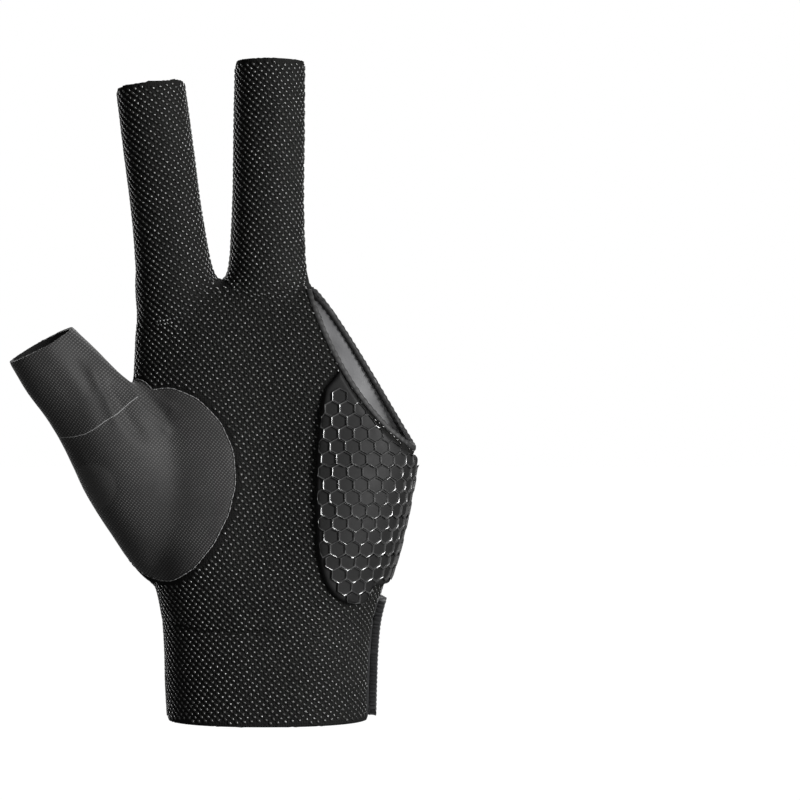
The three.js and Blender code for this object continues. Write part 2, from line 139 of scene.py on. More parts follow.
def limbAxes(limb):
    tilt = math.radians(limb["sideTilt"])
    lean = math.radians(limb["lean"])
    axis = Vector((math.sin(tilt) * math.cos(lean), -math.sin(lean), math.cos(tilt) * math.cos(lean)))
    across = Vector((axis.z, 0, -axis.x)).normalized()
    return axis, across, axis.cross(across)


def limbPoint(limb, table, along, angle):
    # a place on a finger or the thumb, at a share of its length and an angle round it
    axis, across, through = limbAxes(limb)
    wide, deep, shift = smoothRow(table, along)
    side = wide * limb["width"] / 2 * math.cos(angle) + shift * limb["width"] / 2
    tip = min(max((along - tips["turnFrom"]) / tips["turnOver"], 0), 1)
    turned = -side * math.tan(math.radians(limb["tipTurn"])) * tip
    return (Vector(limb["root"]) + axis * (along * limb["length"] + turned) + across * side
            + through * (deep * limb["depth"] / 2 * math.sin(angle)))


def edgeHeight(x, y):
    # the slanted edge that the ring and little fingers leave by
    t = min(max((x - opening["topX"]) / (opening["bottomX"] - opening["topX"]), 0), 1)
    sag = -opening["palmSag"] * math.sin(math.pi * t ** opening["palmSkew"])
    rise = opening["backRise"] * math.sin(math.pi * t ** opening["backSkew"])
    side = min(max(0.5 + y / (opening["turnShare"] * palm["thickness"]), 0), 1)
    return opening["topZ"] + (opening["bottomZ"] - opening["topZ"]) * t + sag + (rise - sag) * side


# tools of the bench

def deselectAll():
    if bpy.context.object and bpy.context.object.mode != "OBJECT":
        bpy.ops.object.mode_set(mode="OBJECT")
    bpy.ops.object.select_all(action="DESELECT")


def pick(*obs):
    deselectAll()
    for ob in obs:
        ob.select_set(True)
    bpy.context.view_layer.objects.active = obs[0]


def bake(ob, kind, name="finish", **settings):
    # adds a modifier and applies it
    pick(ob)
    mod = ob.modifiers.new(name, kind)
    for key, value in settings.items():
        setattr(mod, key, value)
    bpy.ops.object.modifier_apply(modifier=mod.name)


def openGrid(name, across, up, pointAt):
    # pointAt gives each vertex of a flat grid its place in millimetres
    deselectAll()
    bpy.ops.mesh.primitive_grid_add(x_subdivisions=across, y_subdivisions=up, size=1)
    ob = bpy.context.object
    ob.name = name
    for v in ob.data.vertices:
        v.co = pointAt(v.co.x + 0.5, v.co.y + 0.5) * mm
    return ob


def rolledGrid(name, around, rings, pointAt):
    # a flat grid rolled into a closed tube
    ob = openGrid(name, around, rings, pointAt)
    bpy.ops.object.mode_set(mode="EDIT")
    bpy.ops.mesh.select_all(action="SELECT")
    bpy.ops.mesh.remove_doubles(threshold=0.00001)
    bpy.ops.mesh.fill_holes(sides=0)
    bpy.ops.mesh.select_all(action="SELECT")
    bpy.ops.mesh.normals_make_consistent(inside=False)
    bpy.ops.object.mode_set(mode="OBJECT")
    return ob


form = {"voxel": 0.95, "around": 120, "rings": 110, "limbAround": 72, "limbRings": 90, "below": 8,
        "evenPasses": 6, "crookPasses": 70, "crookPull": 1.3, "crookLeast": 0.02}
# the crooks where fingers and thumb leave the palm, which are softened more: place and reach
crookSpots = [((-15, 0, 126), 9), ((-38, -8, 95), 9), ((-14, -12, 122), 10), ((-14, 12, 122), 10),
              ((-28, -11, 121), 9), ((-1, -11, 121), 9), ((-28, 11, 121), 9), ((-1, 11, 121), 9),
              ((-39, 0, 122), 7)]
# rows of such places beside the thumb: first, last and reach
crookRows = [((-26, -20, 44), (-35, -20, 96), 8), ((-27, 6, 44), (-39, 6, 94), 8),
             ((-18, -22, 50), (-16, -22, 94), 6)]


def makeForm():
    top = palm["height"]

    def trunkAt(u, v):
        z = -form["below"] + v * (top + form["below"])
        p = trunkPoint(max(z, 0), 2 * math.pi * u)
        return Vector((p.x, p.y, z))

    parts = [rolledGrid("form", form["around"], form["rings"], trunkAt)]
    for name, limb, table in (("indexForm", index, fingerTable), ("middleForm", middle, fingerTable),
                              ("thumbForm", thumb, thumbTable)):
        low, high = table[0][0], table[0][-1]

        def limbAt(u, v):
            return limbPoint(limb, table, low + v * (high - low), 2 * math.pi * u)

        parts.append(rolledGrid(name, form["limbAround"], form["limbRings"], limbAt))
    pick(*parts)
    bpy.ops.object.join()
    ob = bpy.context.object
    ob.data.remesh_voxel_size = form["voxel"] * mm
    bpy.ops.object.voxel_remesh()
    bake(ob, "SMOOTH", factor=0.5, iterations=form["evenPasses"])
    crooks = ob.vertex_groups.new(name="crooks")
    spots = [(Vector(place), reach) for place, reach in crookSpots]
    for first, last, reach in crookRows:
        spots += [(Vector([a + (b - a) * k / 8 for a, b in zip(first, last)]), reach) for k in range(9)]
    for v in ob.data.vertices:
        p = v.co / mm
        weight = max(math.exp(-((p - c).length / r) ** 2) for c, r in spots)
        if weight > form["crookLeast"]:
            crooks.add([v.index], min(1, weight * form["crookPull"]), "REPLACE")
    bake(ob, "SMOOTH", factor=0.5, iterations=form["crookPasses"], vertex_group="crooks")
    return ob


# folds: points along the crest in x and z, height, half width; a valley has a minus height
folds = [
    ([(-63, 110), (-57.5, 103), (-53, 97), (-50, 90), (-47, 83)], 0.5, 2.6),
    ([(-55, 106), (-52, 100), (-49.5, 95)], -0.6, 1.5),
    ([(-50.5, 103), (-48.5, 99), (-46.2, 95), (-44.4, 90.5), (-42, 85.5)], 0.8, 1.3),
    ([(-46.5, 99.5), (-43.6, 95.6), (-41, 91), (-38, 86), (-34, 81)], -1.5, 2),
    ([(-39, 95), (-35.3, 90.5), (-31, 86.3), (-28, 83)], 0.95, 1.2),
    ([(-36.5, 95), (-32.3, 90.6), (-28, 87)], -0.55, 1.2),
    ([(-34, 95.3), (-30.5, 92.7), (-26, 90.5)], 0.4, 1.1),
    ([(-66, 100), (-58, 88), (-52, 79), (-46, 72)], -0.35, 3.5),
    ([(-31, 29), (-21, 27.3), (-10.6, 26.9), (-2.7, 27), (6, 26.7)], -0.6, 1),
]
# how folds fade at their ends, and the part of the form that they lie in
folding = {"reach": 3, "tail": 5, "tailLeast": 0.1, "head": 6, "headLeast": 0.35,
           "back": 2, "right": 8, "top": 118, "turn": 0.3}


def foldHeight(p):
    if p.y > folding["back"]:
        return 0
    total = 0
    for line, height, width in folds:
        best, where = 1e9, 0
        for k in range(len(line) - 1):
            a, b = Vector(line[k]), Vector(line[k + 1])
            q = Vector((p.x, p.z))
            t = min(max((q - a).dot(b - a) / (b - a).length_squared, 0), 1)
            d = (q - a.lerp(b, t)).length
            if d < best:
                best, where = d, (k + t) / (len(line) - 1)
        if best < folding["reach"] * width:
            tail = folding["tail"] * (1 - where) + folding["tailLeast"]
            head = folding["head"] * where + folding["headLeast"]
            total += height * math.exp(-((best / width) ** 2)) * min(1, tail, head)
    return total


def foldForm(ob):
    normals = [v.normal.copy() for v in ob.data.vertices]
    for v, n in zip(ob.data.vertices, normals):
        p = v.co / mm
        if p.x < folding["right"] and p.z < folding["top"] and n.y < folding["turn"]:
            v.co += n * (foldHeight(p) * mm * min(1, (folding["turn"] - n.y) * 2))


gloveForm = makeForm()
foldForm(gloveForm)
print("form made:", len(gloveForm.data.vertices), "points")


# the smooth form before any cut, for everything that is laid on it
formMesh = bmesh.new()
formMesh.from_mesh(gloveForm.data)
formMesh.normal_update()
formMesh.faces.ensure_lookup_table()
formTree = BVHTree.FromBMesh(formMesh)


def onForm(p):
    # the nearest place on the form, in millimetres, and the smooth way out from it
    place, normal, face, away = formTree.find_nearest(p * mm)
    out = Vector((0, 0, 0))
    for v in formMesh.faces[face].verts:
        out += v.normal / ((v.co - place).length + 0.02 * mm)
    return place / mm, out.normalized()


def seenPlace(x, z):
    # where the eye's ray to x and z on the middle plane meets the form, in millimetres
    start = Vector((view["x"], -view["distance"], view["z"]))
    return formTree.ray_cast(start, (Vector((x, 0, z)) * mm - start).normalized())[0] / mm


# where one piece ends and the next begins; each is above zero on its own side

def tipLimit(p):
    low = p.z
    for limb in (index, middle, thumb):
        axis, across, through = limbAxes(limb)
        q = p - Vector(limb["root"])
        side = q.dot(across)
        if q.dot(axis) > tips["cutFrom"] * limb["length"] and abs(side) < limb["width"]:
            turn, rise = (math.tan(math.radians(limb[key])) for key in ("tipTurn", "tipRise"))
            slope = side * turn + q.dot(through) * rise
            low = min(low, limb["length"] - tips["shorter"] - slope - q.dot(axis))
    return low


def openingSpace(p):
    # rounded where the slanted edge meets the middle finger
    over, beside = p.z - edgeHeight(p.x, p.y), (p.x - opening["topX"]) * opening["sideSlope"]
    far, corner = opening["far"], opening["corner"]
    return -math.log(math.exp(-min(over, far) / corner) + math.exp(-min(beside, far) / corner)) * corner


def sleeveSpace(p):
    # the round patch, which lies at a turn on the ball of the thumb, and the thumb's tube
    yaw = math.radians(patch["yaw"])
    x, y, z = p.x - patch["x"], p.y - patch["y"], p.z - patch["z"]
    px, py = x * math.cos(yaw) - y * math.sin(yaw), x * math.sin(yaw) + y * math.cos(yaw)
    inside = (1 - math.hypot(px / (patch["width"] / 2), z / (patch["height"] / 2))) * patch["width"] / 2
    axis, across, through = limbAxes(thumb)
    q = p - Vector(thumb["root"])
    along = q.dot(axis) / thumb["length"]
    wide, deep, shift = smoothRow(thumbTable, along)
    halfWide = wide * thumb["width"] / 2 + patch["tubeRoom"]
    halfDeep = deep * thumb["depth"] / 2 + patch["tubeRoom"]
    beside = (q.dot(across) - shift * thumb["width"] / 2) / halfWide
    tube = (1 - math.hypot(beside, q.dot(through) / halfDeep)) * halfWide
    tube = min(tube, (along - patch["tubeFrom"]) * thumb["length"])
    return min(max(inside, tube), patch["depth"] - py)


# how far towards the palm the mesh ends: height, at the thumb's side, at the little finger's side
seamRows = tableOf([(0, 4, -8), (29.3, 4, -8), (33, 4.6, -8), (40, 6.5, 0), (48, 9, 0), (94, 9, 0),
                    (126.9, 1.5, 0), (207, 1.5, 1.5)])
seamReach = 80


def meshSide(p):
    xs, ys = seamRows
    thumbSide, pinkySide = np.interp(p.z, xs, ys[:, 0]), np.interp(p.z, xs, ys[:, 1])
    lean = -max(0, p.z - palm["height"]) * math.sin(math.radians(index["lean"]))
    return thumbSide + (pinkySide - thumbSide) * (p.x + seamReach) / (2 * seamReach) + lean - p.y


def cuffLine(p):
    return p.z - cuff["height"]


# a cut takes a vertex this near as it is, keeps this share off an edge's ends, and merges points this near
cutting = {"snap": 0.07, "offEnd": 0.02, "merge": 0.12}


def cutAlong(bm, side):
    # splits the mesh cleanly where side is zero
    value = {v: side(v.co / mm) for v in bm.verts}
    for v in bm.verts:
        if abs(value[v]) < cutting["snap"]:
            value[v] = 0
    for e in list(bm.edges):
        a, b = e.verts
        if value[a] * value[b] < 0:
            t = value[a] / (value[a] - value[b])
            for k in range(2):
                here = side(a.co.lerp(b.co, t) / mm)
                if here * value[a] > 0:
                    t += (1 - t) * here / (here - value[b])
                elif here != 0:
                    t *= value[a] / (value[a] - here)
            t = min(max(t, cutting["offEnd"]), 1 - cutting["offEnd"])
            value[bmesh.utils.edge_split(e, a, t)[1]] = 0
    for f in list(bm.faces):
        corners = list(f.verts)
        first = next((k for k, v in enumerate(corners) if value[v] != 0), None)
        if first is None:
            continue
        corners = corners[first:] + corners[:first + 1]
        last, run, ends = value[corners[0]], [], []
        for v in corners[1:]:
            if value[v] == 0:
                run.append(v)
            else:
                if value[v] * last < 0 and run:
                    ends.append(run[len(ends) - 1])
                last, run = value[v], []
        if len(ends) == 2 and ends[0] is not ends[1] and bm.edges.get(ends) is None:
            bmesh.utils.face_split(f, ends[0], ends[1])


def panelOf(p):
    if tipLimit(p) < 0 or openingSpace(p) > 0:
        return "waste"
    if sleeveSpace(p) > 0:
        return "thumbSleeve"
    if meshSide(p) > 0:
        return "palmPanel"
    if cuffLine(p) > 0:
        return "backPanel"
    return "cuffBack"


def makePanels():
    bm = bmesh.new()
    bm.from_mesh(gloveForm.data)
    for side in (tipLimit, openingSpace, sleeveSpace, meshSide, cuffLine):
        cutAlong(bm, side)
    bm.to_mesh(gloveForm.data)
    bm.free()
    panels = {}
    names = {f.index: panelOf(f.center / mm) for f in gloveForm.data.polygons}
    for name in ("palmPanel", "backPanel", "cuffBack", "thumbSleeve"):
        ob = gloveForm.copy()
        ob.data = gloveForm.data.copy()
        ob.name = name
        bpy.context.collection.objects.link(ob)
        part = bmesh.new()
        part.from_mesh(ob.data)
        part.faces.ensure_lookup_table()
        bmesh.ops.delete(part, geom=[f for f in part.faces if names[f.index] != name], context="FACES")
        part.to_mesh(ob.data)
        part.free()
        ob.vertex_groups.clear()
        pick(ob)
        bpy.ops.object.mode_set(mode="EDIT")
        bpy.ops.mesh.select_all(action="SELECT")
        bpy.ops.mesh.remove_doubles(threshold=cutting["merge"] * mm)
        bpy.ops.object.mode_set(mode="OBJECT")
        panels[name] = ob
    return panels


panels = makePanels()
palmPanel, backPanel = panels["palmPanel"], panels["backPanel"]
cuffBack, thumbSleeve = panels["cuffBack"], panels["thumbSleeve"]
print("panels cut:", {k: len(v.data.polygons) for k, v in panels.items()})


# the cloth's walls, and its borders kept for the threads
seams = {"dip": 0.4, "sleeveDip": 0.2, "reach": 1.6}


def borderOf(ob):
    # the longest run of open edges, as points in millimetres
    nextTo = {}
    bm = bmesh.new()
    bm.from_mesh(ob.data)
    for e in bm.edges:
        if e.is_boundary:
            a, b = (v.index for v in e.verts)
            nextTo.setdefault(a, []).append(b)
            nextTo.setdefault(b, []).append(a)
    places = {v.index: v.co.copy() / mm for v in bm.verts if v.index in nextTo}
    bm.free()
    longest = []
    while nextTo:
        start = next(iter(nextTo))
        line, here = [], start
        while here in nextTo:
            line.append(places[here])
            ahead = [k for k in nextTo.pop(here) if k in nextTo]
            if not ahead:
                break
            here = ahead[0]
        if len(line) > len(longest):
            longest = line
    return longest


sleeveBorder = borderOf(thumbSleeve)
backBorder = borderOf(backPanel)
print("sleeve border:", len(sleeveBorder), "points")


def sinkEdges(ob, dip, reach):
    # cloth pulls in a little along its seams
    edgePoints = set()
    bm = bmesh.new()
    bm.from_mesh(ob.data)
    for e in bm.edges:
        if e.is_boundary:
            edgePoints.update(v.index for v in e.verts)
    tree = kdtree.KDTree(len(edgePoints))
    for k in edgePoints:
        tree.insert(ob.data.vertices[k].co, k)
    tree.balance()
    bm.free()
    for v in ob.data.vertices:
        near = tree.find(v.co)[2] / mm
        if near < reach:
            v.co -= v.normal * (dip * mm * (1 - near / reach) ** 2)


def thicken(ob, thickness):
    # a wall of even thickness, whose inner face follows the smooth form
    outer = [v.co.copy() for v in ob.data.vertices]
    bake(ob, "SOLIDIFY", thickness=thickness * mm, offset=-1, use_even_offset=False, use_rim=True)
    points = ob.data.vertices
    count = len(outer)
    if len(points) != 2 * count:
        return
    for k, place in enumerate(outer):
        inner = k + count if (points[k].co - place).length < 1e-7 else k
        points[inner].co = place - onForm(place / mm)[1] * (thickness * mm)


for ob in panels.values():
    sinkEdges(ob, seams["sleeveDip"] if ob is thumbSleeve else seams["dip"], seams["reach"])
    thicken(ob, wall)
    pick(ob)
    bpy.ops.object.shade_smooth_by_angle(angle=math.radians(50))
print("cloth walls made")


# places measured round a section, so that knit and hexagons follow the cloth
girth = {"steps": 181, "middle": 90, "side": 150}


def girthOf(pointAt):
    # angle against distance from the middle of the palm side, towards the little finger
    angles = np.linspace(-1.5 * math.pi, 0.5 * math.pi, girth["steps"])
    pts = np.array([pointAt(a) for a in angles])
    run = np.concatenate([[0], np.cumsum(np.linalg.norm(np.diff(pts, axis=0), axis=1))])
    return angles, run - run[girth["middle"]], pts[girth["middle"]][0]


girths = {}


def girthAt(name, z, pointAt):
    # kept by whole millimetre, because neighbouring rows hardly differ
    key = (name, round(z))
    if key not in girths:
        girths[key] = girthOf(pointAt)
    return girths[key]


knit = {"alongRow": (1.243, -0.971), "acrossRow": (-0.855, -1.165), "cells": 200, "halfWide": 78,
        "low": 0.8, "high": 196, "trunkTop": 126, "fingerFrom": 112, "pastTip": 1.03, "offPlace": 1.1,
        "beadLong": 0.86, "beadWide": 0.46, "beadHigh": 0.16, "lift": 0.06, "clear": 1.0, "apart": 0.85,
        "seamShare": 0.7}


def laidRound(name, u, v, pointAt):
    # a flat place carried round the section at height v, where the section is wide enough
    angles, run, middleX = girthAt(name, v, pointAt)
    if run[0] < u - middleX < run[-1]:
        return [pointAt(float(np.interp(u - middleX, run, angles)))]
    return []


def knitSpots():
    # the lattice of raised knots, laid out flat and then round the trunk and the two fingers
    a, b = knit["alongRow"], knit["acrossRow"]
    spots = []
    for i in range(-knit["cells"], knit["cells"]):
        for j in range(-knit["cells"], knit["cells"]):
            u, v = a[0] * i + b[0] * j, a[1] * i + b[1] * j
            if abs(u) >= knit["halfWide"] or not knit["low"] < v < knit["high"]:
                continue
            if v < knit["trunkTop"]:
                spots += laidRound("trunk", u, v, lambda t: trunkPoint(v, t))
            if v < knit["fingerFrom"]:
                continue
            for name, limb in (("index", index), ("middle", middle)):
                along = (v - limb["root"][2]) / (limb["length"] * limbAxes(limb)[0].z)
                if along <= knit["pastTip"]:
                    spots += laidRound(name, u, v, lambda t: limbPoint(limb, fingerTable, along, t))
    return spots


def meshObject(name, points, faces):
    # a mesh of its own, from points in millimetres
    mesh = bpy.data.meshes.new(name)
    mesh.from_pydata((np.array(points) * mm).tolist(), [], faces)
    ob = bpy.data.objects.new(name, mesh)
    bpy.context.collection.objects.link(ob)
    pick(ob)
    return ob


def scatter(name, shape, placings):
    # copies of one small shape, each with a place, a long side, a way out and three sizes, in millimetres
    base = np.array([v.co[:] for v in shape.data.vertices])
    faces = [list(f.vertices) for f in shape.data.polygons]
    points, allFaces = [], []
    for k, (place, along, out, sizes) in enumerate(placings):
        out = out.normalized()
        along = (along - out * along.dot(out)).normalized()
        side = out.cross(along)
        turn = np.array([along[:], side[:], out[:]])
        points.append((base * np.array(sizes)) @ turn + np.array(place[:]))
        shift = k * len(base)
        allFaces.extend([[i + shift for i in f] for f in faces])
    ob = meshObject(name, np.concatenate(points), allFaces)
    bpy.ops.object.shade_smooth()
    return ob


deselectAll()
bpy.ops.mesh.primitive_ico_sphere_add(subdivisions=1, radius=1)
bead = bpy.context.object
bead.name = "bead"


# the gel pad: a slab with a rounded edge, and thin ridges round hexagon cells
pad = {"left": 13.8, "bottom": 34.5, "sideBottom": 39.9, "top": 96.3, "edgeMargin": 3.4, "sideStart": 29.4,
       "lift": 0.3, "skin": 0.1, "slab": 1.35, "round": 1.2, "sideMargin": 0.3, "sideTaper": 0.3,
       "edgeTaper": 0.62, "far": 5, "clear": 3, "merge": 0.08, "under": 0.35, "sharp": 60}
# a cell's rings: distance in from the middle of the ridge, and height over the cloth
hexagon = {"pitch": 4.15, "margin": 1.5, "columns": 10, "rows": 18, "start": 34.5, "room": 0.35,
           "rings": ((0, 2.27), (0.14, 2.2), (0.25, 2.02), (0.36, 1.7)), "floor": 1.7,
           "least": 0.9, "pulls": 9, "pull": 0.15, "sharp": 38}


def curvePoints(a, b, c, d, steps=10):
    return [a * (1 - t) ** 3 + b * 3 * t * (1 - t) ** 2 + c * 3 * t ** 2 * (1 - t) + d * t ** 3
            for t in (k / steps for k in range(1, steps + 1))]


def padOutline():
    tall = pad["top"] - pad["bottom"]
    v = lambda x, z: Vector((x, z))
    quad = lambda a, b, c: curvePoints(a, a.lerp(b, 2 / 3), c.lerp(b, 2 / 3), c)
    start = v(pad["sideStart"], pad["sideBottom"])
    low = v(pad["left"] + 0.2 * tall, pad["bottom"])
    left = v(pad["left"] + 0.015 * tall, pad["bottom"] + 0.22 * tall)
    top = v(pad["left"] + 0.04 * tall, pad["top"])
    points = [v(80, pad["sideBottom"]), start]
    points += quad(start, v(pad["sideStart"] - 0.04 * tall, pad["bottom"]), low)
    points += quad(low, v(pad["left"] + 0.04 * tall, pad["bottom"]), left)
    points += curvePoints(left, v(pad["left"] - 0.01 * tall, pad["bottom"] + 0.45 * tall),
                          v(pad["left"], pad["bottom"] + 0.8 * tall), top)
    points.append(v(80, pad["top"] + 80))
    return points


padLine = padOutline()


def padSpace(p):
    # how far inside the pad's outline, in millimetres
    if p.x < 8 or p.z < 28 or p.z > 112 or p.y > 6:
        return -pad["far"]
    q = Vector((p.x, p.z))
    best, inside = 1e9, True
    for a, b in zip(padLine, padLine[1:]):
        step = b - a
        t = min(max((q - a).dot(step) / step.length_squared, 0), 1)
        gap = q - a.lerp(b, t)
        if gap.length < best:
            best = gap.length
            inside = step.x * (q.y - a.y) - step.y * (q.x - a.x) < 0
    best = best if inside else -best
    toTape = (edgeHeight(p.x, p.y) - pad["edgeMargin"] - p.z) * pad["edgeTaper"]
    return min(best, toTape, (meshSide(p) - pad["sideMargin"]) * pad["sideTaper"])


def rounding(space):
    # the share of its full height that the pad has at a distance inside its rounded edge
    t = min(max(space / pad["round"], 0), 1)
    return math.sqrt(1 - (1 - t) ** 2)


def makePad():
    ob = gloveForm.copy()
    ob.data = gloveForm.data.copy()
    ob.name = "gelPad"
    bpy.context.collection.objects.link(ob)
    ob.vertex_groups.clear()
    bm = bmesh.new()
    bm.from_mesh(ob.data)
    far = [v for v in bm.verts if padSpace(v.co / mm) < -pad["clear"]]
    bmesh.ops.delete(bm, geom=far, context="VERTS")
    bmesh.ops.subdivide_edges(bm, edges=bm.edges[:], cuts=1, use_grid_fill=True)
    cutAlong(bm, padSpace)
    outside = [f for f in bm.faces if padSpace(f.calc_center_median() / mm) < 0]
    bmesh.ops.delete(bm, geom=outside, context="FACES")
    bmesh.ops.delete(bm, geom=[v for v in bm.verts if not v.link_faces], context="VERTS")
    bmesh.ops.remove_doubles(bm, verts=bm.verts, dist=pad["merge"] * mm)
    bm.normal_update()
    for v in bm.verts:
        rise = pad["lift"] + pad["skin"] + (pad["slab"] - pad["skin"]) * rounding(padSpace(v.co / mm))
        v.co += v.normal * (rise * mm)
    bm.to_mesh(ob.data)
    bm.free()
    bake(ob, "SOLIDIFY", thickness=pad["under"] * mm, offset=-1, use_even_offset=False, use_rim=True)
    pick(ob)
    bpy.ops.object.shade_smooth_by_angle(angle=math.radians(pad["sharp"]))
    return ob


def cellPoints(centre, along, square):
    # the rings of one cell, pulled in where the pad ends, and the middle of its floor
    made = []
    for inward, height in hexagon["rings"]:
        for k in range(12):
            turn = math.pi / 6 * k
            radius = (hexagon["pitch"] / 2 - inward) / (math.cos(math.pi / 6) if k % 2 == 0 else 1)
            spot = centre + (along * math.sin(turn) + square * math.cos(turn)) * radius
            for pull in range(hexagon["pulls"]):
                if padSpace(spot) > hexagon["room"]:
                    break
                spot = spot.lerp(centre, hexagon["pull"])
            place, normal = onForm(spot)
            made.append(place + normal * (pad["lift"] + (height - pad["lift"]) * rounding(padSpace(place))))
    place, normal = onForm(centre)
    return made + [place + normal * hexagon["floor"]]


def makeHexagons():
    step = hexagon["pitch"] * math.sin(math.pi / 3)
    points, faces = [], []
    for row in range(hexagon["rows"] + 1):
        z = hexagon["start"] + hexagon["pitch"] / 2 + (row - 1) * step
        angles, run, middleX = girthAt("trunk", z, lambda a: trunkPoint(z, a))
        xs = np.array([trunkPoint(z, a).x for a in angles[girth["middle"]:girth["side"]]])
        begin = run[girth["middle"] + int(np.argmax(xs >= pad["left"]))]
        for column in range(-1, hexagon["columns"]):
            goal = begin + hexagon["margin"] + hexagon["pitch"] * (column + (0.5 if row % 2 == 0 else 0))
            angle = float(np.interp(goal, run, angles))
            centre, out = onForm(trunkPoint(z, angle))
            if padSpace(centre) < hexagon["least"]:
                continue
            along = (trunkPoint(z, angle + 0.02) - trunkPoint(z, angle - 0.02)).normalized()
            square = out.cross(along).normalized()
            first = len(points)
            points += cellPoints(centre, along, -square if square.z < 0 else square)
            for r in range(len(hexagon["rings"])):
                for k in range(12):
                    a, b = first + r * 12 + k, first + r * 12 + (k + 1) % 12
                    inmost = r == len(hexagon["rings"]) - 1
                    faces.append([a, b, len(points) - 1] if inmost else [a, b, b + 12, a + 12])
    ob = meshObject("hexagonRidges", points, faces)
    bpy.ops.object.mode_set(mode="EDIT")
    bpy.ops.mesh.select_all(action="SELECT")
    bpy.ops.mesh.normals_make_consistent(inside=False)
    bpy.ops.object.mode_set(mode="OBJECT")
    for f in ob.data.polygons:
        if f.normal.dot(onForm(f.center / mm)[1]) < 0:
            f.flip()
    bpy.ops.object.shade_smooth_by_angle(angle=math.radians(hexagon["sharp"]))
    return ob


gelPad = makePad()
hexagons = makeHexagons()
print("gel pad made:", len(gelPad.data.polygons), len(hexagons.data.polygons))


def knitOnPanel():
    placings, taken = [], {}
    slant = Vector((knit["alongRow"][0], 0, knit["alongRow"][1]))
    apart, clear = knit["apart"], knit["clear"]
    sizes = (knit["beadLong"], knit["beadWide"], knit["beadHigh"])
    for spot in knitSpots():
        place, out = onForm(spot)
        if (place - spot).length > knit["offPlace"] or tipLimit(place) < clear:
            continue
        if meshSide(place) < clear * knit["seamShare"]:
            continue
        if openingSpace(place) > -clear or sleeveSpace(place) > -clear or padSpace(place) > -0.5:
            continue
        cell = tuple(int(c // apart) for c in place)
        near = [q for dx in (-1, 0, 1) for dy in (-1, 0, 1) for dz in (-1, 0, 1)
                for q in taken.get((cell[0] + dx, cell[1] + dy, cell[2] + dz), ())]
        if any((q - place).length < apart for q in near):
            continue
        taken.setdefault(cell, []).append(place)
        placings.append((place + out * knit["lift"], slant, out, sizes))
    return scatter("palmKnots", bead, placings)


palmKnots = knitOnPanel()
print("knots laid:", len(palmKnots.data.polygons) // 20)


# the ribbed tape round the slanted opening
tape = {"width": 1.7, "thickness": 2.1, "steps": 260, "around": 14, "ribs": 62, "ribDepth": 0.09,
        "squareness": 0.6, "below": 0.8, "inset": 0.6, "overEdge": 0.2, "search": 0.004}


def edgePath():
    # points of the slanted edge, evenly apart, from the palm side round to the back
    found = []
    angle = -math.pi / 2
    while angle < math.pi / 2:
        low, high = cuff["height"], palm["height"] - tape["below"]
        for k in range(24):
            z = (low + high) / 2
            p = trunkPoint(z, angle)
            low, high = (z, high) if z < edgeHeight(p.x, p.y) else (low, z)
        p = trunkPoint(low, angle)
        if p.x > opening["topX"] + tape["inset"]:
            found.append(p)
        angle += tape["search"]
    run = [0]
    for a, b in zip(found, found[1:]):
        run.append(run[-1] + (b - a).length)
    even = []
    for k in range(tape["steps"] + 1):
        at = run[-1] * k / tape["steps"]
        i = min(max(int(np.searchsorted(run, at)) - 1, 0), len(found) - 2)
        even.append(found[i].lerp(found[i + 1], (at - run[i]) / (run[i + 1] - run[i])))
    return even


def makeTape():
    path = edgePath()
    frames = []
    for k, p in enumerate(path):
        along = (path[min(k + 1, len(path) - 1)] - path[max(k - 1, 0)]).normalized()
        place, out = onForm(p)
        place = place - out * (wall / 2)
        out = (out - along * out.dot(along)).normalized()
        frames.append((place, out, along.cross(out).normalized()))

    def tapeAt(u, v):
        place, out, down = frames[min(int(round(v * tape["steps"])), tape["steps"])]
        turn = 2 * math.pi * u
        side, drop = math.cos(turn), math.sin(turn)
        rib = tape["ribDepth"] * math.sin(2 * math.pi * tape["ribs"] * v)
        side = math.copysign(abs(side) ** tape["squareness"], side) * (tape["thickness"] / 2 + rib)
        drop = math.copysign(abs(drop) ** tape["squareness"], drop) * (tape["width"] / 2 + rib)
        sign = -1 if down.z > 0 else 1
        return place + out * side + down * sign * (drop + tape["width"] / 2 - tape["overEdge"])

    ob = rolledGrid("openingTape", tape["around"], tape["steps"], tapeAt)
    pick(ob)
    bpy.ops.object.shade_smooth()
    return ob


openingTape = makeTape()
print("tape made")


# the closing strap, with its ribbed fold by the slit and its rounded end
strap = {"height": 33, "sideHeight": 37.9, "hem": 0.4, "frontX": 29.4, "tabEnd": 4.8, "tabRadius": 15,
         "rise": 2.3, "thickness": 1.9, "bevel": 0.45, "along": 120, "up": 112, "levelFrom": -8, "levelOver": 18.5,
         "ribs": 26, "ribDepth": 0.09, "ribbedShare": 0.1, "edgeShare": 0.03, "edgeDip": 0.35,
         "cornerReach": 1.8, "cornerSlope": 26, "cornerPull": 0.6}


def angleWhere(z, x, back):
    # the angle at which the section at that height reaches x, on its palm side or its back
    low, high = (0, math.pi) if back else (0, -math.pi)
    for k in range(30):
        turn = (low + high) / 2
        low, high = (turn, high) if trunkPoint(z, turn).x > x else (low, turn)
    return low


